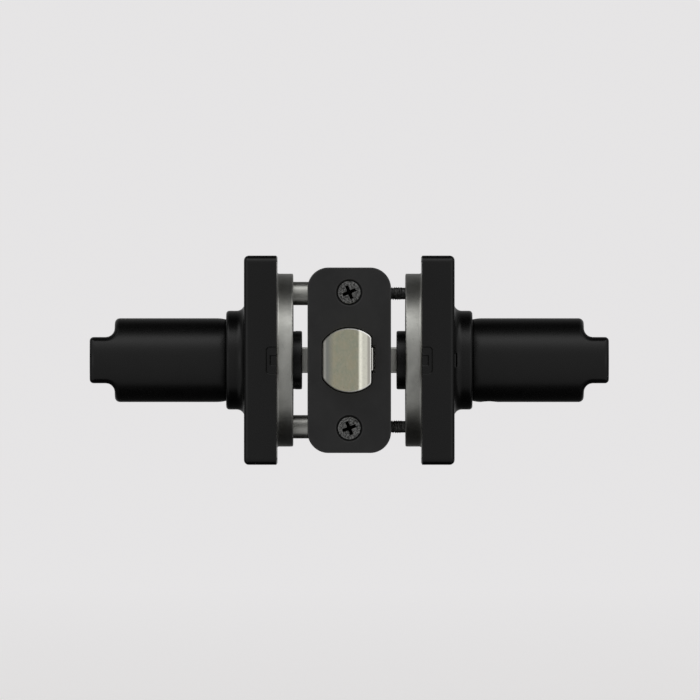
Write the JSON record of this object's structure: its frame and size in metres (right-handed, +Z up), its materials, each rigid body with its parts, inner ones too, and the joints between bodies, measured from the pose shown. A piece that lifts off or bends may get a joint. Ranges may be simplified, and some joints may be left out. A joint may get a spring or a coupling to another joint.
{
  "type": "passage lever set",
  "caption": "Passage lever set: sprung flat-bar levers on square roses each side of a door, joined by a square spindle through a tubular spring latch with a bevelled bolt.",
  "frame": {"origin": "where the spindle's axis meets the middle plane of the door", "axes": "+X along the spindle to the inside of the room, -Y out of the door's edge (the way the bolt points), +Y along the levers, +Z up"},
  "size_m": [0.1594, 0.1747, 0.064],
  "materials": {
    "black_coat": "matt black powder coat",
    "bolt_metal": "worn satin nickel",
    "zinc_plate": "bright zinc plate",
    "spring_wire": "oiled spring steel",
    "dark_screw": "grainy black oxide"
  },
  "bodies": {
    "chassis": {"outside_rose": "black_coat", "outside_liner": "zinc_plate", "outside_posts": "zinc_plate", "outside_return_spring": "spring_wire", "inside_rose": "black_coat", "inside_liner": "zinc_plate", "inside_return_spring": "spring_wire", "mounting_screws": "dark_screw", "latch_faceplate": "black_coat", "latch_backplate": "zinc_plate", "faceplate_screws": "dark_screw", "latch_tube": "zinc_plate", "latch_case": "zinc_plate", "latch_spring_seat": "zinc_plate", "latch_spring": "spring_wire"},
    "outside_handle": {"outside_lever": "black_coat", "outside_return_cam": "zinc_plate", "outside_retaining_ring": "spring_wire", "spindle": "zinc_plate", "spindle_pin": "spring_wire"},
    "inside_handle": {"inside_lever": "black_coat", "inside_return_cam": "zinc_plate", "inside_retaining_ring": "spring_wire", "inside_set_screw": "dark_screw"},
    "cam": {"latch_cam": "zinc_plate"},
    "bolt": {"latch_bolt": "bolt_metal", "latch_tail_rod": "zinc_plate", "latch_retractor": "zinc_plate"}
  },
  "joints": [
    {"name": "outside_lever_turn", "type": "hinge", "parent": "chassis", "child": "outside_handle", "pos_m": [0, 0, 0], "axis": [-1, 0, 0], "range_deg": [0, 50], "stiffness_Nm_per_rad": 0.5, "springref_deg": -28.65, "deforming": ["outside_return_spring"]},
    {"name": "inside_lever_turn", "type": "hinge", "parent": "chassis", "child": "inside_handle", "pos_m": [0, 0, 0], "axis": [-1, 0, 0], "range_deg": [0, 50], "stiffness_Nm_per_rad": 0.5, "springref_deg": -28.65, "deforming": ["inside_return_spring"]},
    {"name": "cam_turn", "type": "hinge", "parent": "chassis", "child": "cam", "pos_m": [0, 0, 0], "axis": [-1, 0, 0], "range_deg": [0, 50]},
    {"name": "bolt_slide", "type": "slide", "parent": "chassis", "child": "bolt", "axis": [0, 1, 0], "range_m": [0, 0.01236], "stiffness_N_per_m": 300, "springref_m": -0.008, "deforming": ["latch_spring"]}
  ],
  "couplings": [
    {"joint": "inside_lever_turn", "follows": "outside_lever_turn", "ratio": 1},
    {"joint": "cam_turn", "follows": "outside_lever_turn", "ratio": 1},
    {"joint": "bolt_slide", "follows": "outside_lever_turn", "m_per_rad": 0.01416}
  ]
}
